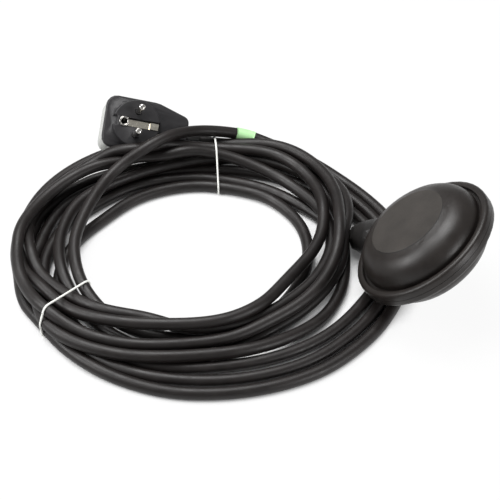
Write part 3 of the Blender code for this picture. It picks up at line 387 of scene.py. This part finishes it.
def hullOf(spots, radius):
    # The tight loop round circles at the spots, which stays above the floor
    corners = 28
    lowest = 0.0009
    cloud = sorted(
        (round(x + radius * math.cos(a), 7), round(max(y + radius * math.sin(a), lowest), 7))
        for x, y in spots for a in np.linspace(0, 2 * math.pi, corners, endpoint=False)
    )

    def turnsRight(a, b, c):
        return (b[0] - a[0]) * (c[1] - a[1]) - (b[1] - a[1]) * (c[0] - a[0]) <= 1e-12

    def chain(points):
        kept = []
        for point in points:
            while len(kept) > 1 and turnsRight(kept[-2], kept[-1], point):
                kept.pop()
            kept.append(point)
        return kept[:-1]

    return chain(cloud) + chain(cloud[::-1])


# Each string lies in an upright plane through two places, an angle and a radius in mm. The back one
# passes under the turn that arches over the plug.
string = {"diameter": 0.0015, "play": 0.0001, "step": 0.002, "sides": 10}
tieReach = (-0.02, 0.075)
ties = [
    {"name": "tie_back", "node": "string_tie_back", "outer": (84, 137), "inner": (75, 74),
     "skip": ((highTurn + 60, highTurn + 110),)},
    {"name": "tie_front", "node": "string_tie_front", "outer": (216, 130), "inner": (207, 84), "skip": ()},
]
tieObjects = []
for tie in ties:
    origin, along, normal = tiePlane(tie["outer"], tie["inner"])
    spots = crossings(origin, along, normal, tie["skip"])
    loop = hullOf(spots, cableDiameter / 2 + string["diameter"] / 2 + string["play"])
    points = np.array([origin + along * x + Vector((0, 0, y)) for x, y in loop])
    points = evenLine(np.vstack([points, points[:1]]), string["step"])[:-1]
    made = tube(tie["name"], points, string["diameter"] / 2, string["sides"], closed=True)
    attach(made, "body")
    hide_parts(tie["node"])
    tieObjects.append(made)
print("ties done")


def shader(name, base, rough, metallic=0.0, spread=0.3, scale=60.0, bump=0.05, grain=900.0, lift=0.08,
           sheen=0.0):
    # Cloudy colour, patches of gloss and a fine grain, all on Object coordinates
    made = bpy.data.materials.new(name)
    made.use_nodes = True
    tree = made.node_tree
    body = tree.nodes["Principled BSDF"]
    body.inputs["Metallic"].default_value = metallic
    body.inputs["Specular IOR Level"].default_value = 0.5 if max(base) > 0.1 else 0.36
    body.inputs["Sheen Weight"].default_value = sheen
    place = tree.nodes.new("ShaderNodeTexCoord")

    def noise(size, detail):
        texture = tree.nodes.new("ShaderNodeTexNoise")
        texture.inputs["Scale"].default_value = size
        texture.inputs["Detail"].default_value = detail
        tree.links.new(place.outputs["Object"], texture.inputs["Vector"])
        return texture

    cloud = noise(scale, 8.0)
    cloud.inputs["Roughness"].default_value = 0.62
    tint = tree.nodes.new("ShaderNodeValToRGB")
    dark = [c * (1 - spread) for c in base]
    light = [min(1.0, c * (1 + spread) + 0.002) for c in base]
    for end, stop, colour in zip(tint.color_ramp.elements, (0.32, 0.72), (dark, light)):
        end.position = stop
        end.color = (*colour, 1)
    tree.links.new(cloud.outputs["Fac"], tint.inputs["Fac"])
    tree.links.new(tint.outputs["Color"], body.inputs["Base Color"])
    wear = noise(scale * 3.1, 6.0)
    gloss = tree.nodes.new("ShaderNodeMapRange")
    gloss.inputs["From Min"].default_value = 0.3
    gloss.inputs["From Max"].default_value = 0.7
    gloss.inputs["To Min"].default_value = max(0.02, rough - lift)
    gloss.inputs["To Max"].default_value = rough + lift
    tree.links.new(wear.outputs["Fac"], gloss.inputs["Value"])
    tree.links.new(gloss.outputs["Result"], body.inputs["Roughness"])
    fine = noise(grain, 3.0)
    relief = tree.nodes.new("ShaderNodeBump")
    relief.inputs["Strength"].default_value = bump
    relief.inputs["Distance"].default_value = 0.0002
    tree.links.new(fine.outputs["Fac"], relief.inputs["Height"])
    tree.links.new(relief.outputs["Normal"], body.inputs["Normal"])
    return made


rubber = shader("cable_rubber", (0.0096, 0.0074, 0.0069), 0.45, scale=45, bump=0.25, grain=1400, lift=0.07)
floatPlastic = shader("float_satin", (0.0140, 0.0112, 0.0098), 0.38, spread=0.25, scale=30, bump=0.3,
                      grain=1700, lift=0.06)
platePlastic = shader("plate_matt", (0.0310, 0.0268, 0.0232), 0.50, spread=0.25, scale=40, bump=0.5,
                      grain=1700, lift=0.05)
# Near-black painted shade for the step round the float's plates: a painted shadow line in place of the shade in
# the narrow groove there
stepPaintedShade = shader("plate_step_painted_shade", (0.0040, 0.0038, 0.0036), 0.6, spread=0.2, bump=0.1)
glandPlastic = shader("gland_satin", (0.0130, 0.0120, 0.0115), 0.42, spread=0.25, bump=0.3, grain=1500)
softRubber = shader("soft_rubber", (0.0110, 0.0102, 0.0100), 0.5, spread=0.25, bump=0.3, grain=1500)
plugBlack = shader("plug_grained", (0.0160, 0.0152, 0.0165), 0.44, spread=0.22, scale=50, bump=0.6,
                   grain=2200)
plugGrey = shader("plug_light", (0.40, 0.41, 0.39), 0.42, spread=0.05, scale=40, bump=0.2, grain=1500)
chrome = shader("pin_nickel", (0.78, 0.76, 0.72), 0.16, metallic=1.0, spread=0.08, scale=90,
                grain=1200, lift=0.07)
earthMetal = shader("earth_nickel", (0.80, 0.76, 0.66), 0.22, metallic=1.0, spread=0.10, scale=120,
                    bump=0.06,
                    grain=1200)
steel = shader("bright_steel", (0.58, 0.58, 0.58), 0.25, metallic=1.0, spread=0.1, scale=110, bump=0.1,
               grain=1400)
carrier = shader("carrier_offwhite", (0.66, 0.64, 0.58), 0.45, spread=0.06, scale=50, bump=0.2, grain=1300)
switchBlack = shader("switch_black", (0.05, 0.05, 0.055), 0.4, spread=0.2, bump=0.3, grain=1600)
coreBrown = shader("core_brown", (0.16, 0.07, 0.035), 0.4, spread=0.15, scale=80, bump=0.2)
coreBlue = shader("core_blue", (0.04, 0.13, 0.42), 0.4, spread=0.15, scale=80, bump=0.2)
coreGrey = shader("core_grey", (0.32, 0.32, 0.32), 0.4, spread=0.12, scale=80, bump=0.2)
twine = shader("twine", (0.82, 0.82, 0.78), 0.75, spread=0.08, scale=700, bump=0.8, grain=2600, sheen=0.3)
labelPaper = shader("label_green", (0.42, 0.72, 0.36), 0.5, spread=0.06, scale=160, bump=0.15, grain=1500)

materialOf = {
    "float_shell_upper": floatPlastic, "float_shell_lower": floatPlastic, "rim_seal": softRubber,
    "gland_body": glandPlastic, "gland_nut": glandPlastic, "gland_bush": softRubber,
    "cable_sleeve": softRubber, "switch_carrier": carrier, "cord_grip": carrier, "microswitch_body": switchBlack,
    "plug_front_housing": plugBlack, "plug_rear_housing": plugGrey, "plug_boot": softRubber,
    "plug_pin_upper": chrome, "plug_pin_lower": chrome, "plug_earth_sleeve": chrome,
    "plug_earth_strap": earthMetal, "socket_earth_bracket": earthMetal, "socket_contact_upper": earthMetal,
    "socket_contact_lower": earthMetal, "terminal_common": earthMetal, "terminal_closed": earthMetal,
    "terminal_open": earthMetal, "cable_core_common": coreBrown, "cable_core_closed": coreBlue,
    "cable_core_open": coreGrey,
}
# Moulded pieces get a merged copy of the CAD mesh, whose edges shade smooth up to the sharp angle
moulded = {
    "names": ["float_shell_upper", "float_shell_lower", "gland_body", "gland_nut", "cable_sleeve",
              "plug_front_housing", "plug_rear_housing", "plug_boot"],
    "merge": 0.00001,
    "sharp": math.radians(28),
}
tilt = math.radians(36.8)
lean = math.radians(172.1)
floatAxis = Vector((math.sin(tilt) * math.cos(lean), math.sin(tilt) * math.sin(lean), math.cos(tilt)))
plate = {"radius": 29.5 * mm, "face": 23.15 * mm, "step": 1.1 * mm, "edge": 0.25 * mm}
plugSeam = -154.0 * mm     # along plugFront, behind which the plug's sides are light


def onPlate(face):
    # 1 on the float's raised plates, 2 on the step round them, which is painted near-black as the shade in the
    # groove there, 0 elsewhere
    spot = face.calc_center_median()
    high = abs(spot.dot(floatAxis))
    out = (spot - floatAxis * spot.dot(floatAxis)).length
    if high > plate["face"] and out < plate["radius"]:
        return 1
    return 2 if abs(out - plate["radius"]) < plate["edge"] and high > plate["face"] - plate["step"] else 0


def smoothCopy(name, node):
    shape = bmesh.new()
    shape.from_mesh(node.data)
    bmesh.ops.remove_doubles(shape, verts=shape.verts, dist=moulded["merge"])
    looks = [materialOf[name]]
    if name.startswith("float_shell"):
        # The plates get their matt plastic, and the step round them the painted shade
        looks += [platePlastic, stepPaintedShade]
        for face in shape.faces:
            face.material_index = onPlate(face)
    if name == "plug_front_housing":
        looks += [plugGrey]
        front = Vector(plugFront)
        parts = shape.verts[:] + shape.edges[:] + shape.faces[:]
        bmesh.ops.bisect_plane(shape, geom=parts, plane_co=Vector(plugFront * plugSeam), plane_no=front)
        for face in shape.faces:
            face.material_index = int(face.calc_center_median().dot(front) < plugSeam)
    mesh = bpy.data.meshes.new(name + "_smooth")
    shape.to_mesh(mesh)
    shape.free()
    for look in looks:
        mesh.materials.append(look)
    mesh.shade_smooth()
    mesh.set_sharp_from_angle(angle=moulded["sharp"])
    made = bpy.data.objects.new(name + "_smooth", mesh)
    scene.collection.objects.link(made)
    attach(made, "body")
    weigh = made.modifiers.new("weigh", "WEIGHTED_NORMAL")
    weigh.keep_sharp = True
    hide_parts(name)


for name, node in nodes.items():
    node.data.materials.clear()
    node.data.materials.append(materialOf.get(name, steel))
    if name in moulded["names"]:
        smoothCopy(name, node)
cable.data.materials.append(rubber)
label.data.materials.append(labelPaper)
for made in tieObjects:
    made.data.materials.append(twine)
print("materials done")

# The camera sees the floor white, and darker only where the turns shelter it
ground = {"size": 6, "drop": 0.0001, "colour": 0.8, "rough": 0.9, "shelter": 0.022,
          "closed": 0.22, "open": 0.62, "share": 0.93}
floorMesh = bpy.data.meshes.new("floor")
grid = bmesh.new()
bmesh.ops.create_grid(grid, x_segments=1, y_segments=1, size=ground["size"])
bmesh.ops.translate(grid, vec=(0, 0, floorLevel - ground["drop"]), verts=grid.verts)
grid.to_mesh(floorMesh)
grid.free()
floor = bpy.data.objects.new("floor", floorMesh)
scene.collection.objects.link(floor)
floorMaterial = bpy.data.materials.new("pale_floor")
floorMaterial.use_nodes = True
tree = floorMaterial.node_tree
paint = tree.nodes["Principled BSDF"]
paint.inputs["Base Color"].default_value = (*[ground["colour"]] * 3, 1)
paint.inputs["Roughness"].default_value = ground["rough"]
glow = tree.nodes.new("ShaderNodeEmission")
rays = tree.nodes.new("ShaderNodeLightPath")
seen = tree.nodes.new("ShaderNodeMath")
seen.operation = "MAXIMUM"
share = tree.nodes.new("ShaderNodeMath")
share.operation = "MULTIPLY"
shelter = tree.nodes.new("ShaderNodeAmbientOcclusion")
shelter.inputs["Distance"].default_value = ground["shelter"]
shelter.samples = 8
opened = tree.nodes.new("ShaderNodeMapRange")
opened.inputs["From Min"].default_value = ground["closed"]
opened.inputs["From Max"].default_value = ground["open"]
opened.inputs["To Max"].default_value = ground["share"]
mix = tree.nodes.new("ShaderNodeMixShader")
wires = [
    (rays.outputs["Is Camera Ray"], seen.inputs[0]),
    (rays.outputs["Is Glossy Ray"], seen.inputs[1]),
    (seen.outputs["Value"], share.inputs[0]),
    (shelter.outputs["AO"], opened.inputs["Value"]),
    (opened.outputs["Result"], share.inputs[1]),
    (share.outputs["Value"], mix.inputs["Fac"]),
    (paint.outputs["BSDF"], mix.inputs[1]),
    (glow.outputs["Emission"], mix.inputs[2]),
    (mix.outputs["Shader"], tree.nodes["Material Output"].inputs["Surface"]),
]
for start, end in wires:
    tree.links.new(start, end)
floorMesh.materials.append(floorMaterial)

scene.view_settings.view_transform = "Standard"
world = bpy.data.worlds.new("studio")
scene.world = world
world.use_nodes = True
world.node_tree.nodes["Background"].inputs["Color"].default_value = (1, 1, 1, 1)
world.node_tree.nodes["Background"].inputs["Strength"].default_value = 0.26

lamps = [
    {"name": "over", "place": (-0.35, 0.35, 1.1), "size": 0.8, "power": 17},
    {"name": "left", "place": (-1.1, -0.1, 0.7), "size": 0.6, "power": 10},
    {"name": "right", "place": (0.9, -0.7, 0.35), "size": 0.6, "power": 8},
]
lampsAt = Vector((-0.12, 0.03, 0))
for lamp in lamps:
    data = bpy.data.lights.new(lamp["name"], "AREA")
    data.size = lamp["size"]
    data.energy = lamp["power"]
    made = bpy.data.objects.new(lamp["name"], data)
    made.location = lamp["place"]
    made.rotation_euler = (lampsAt - made.location).to_track_quat("-Z", "Y").to_euler()
    scene.collection.objects.link(made)
print("floor and light done")
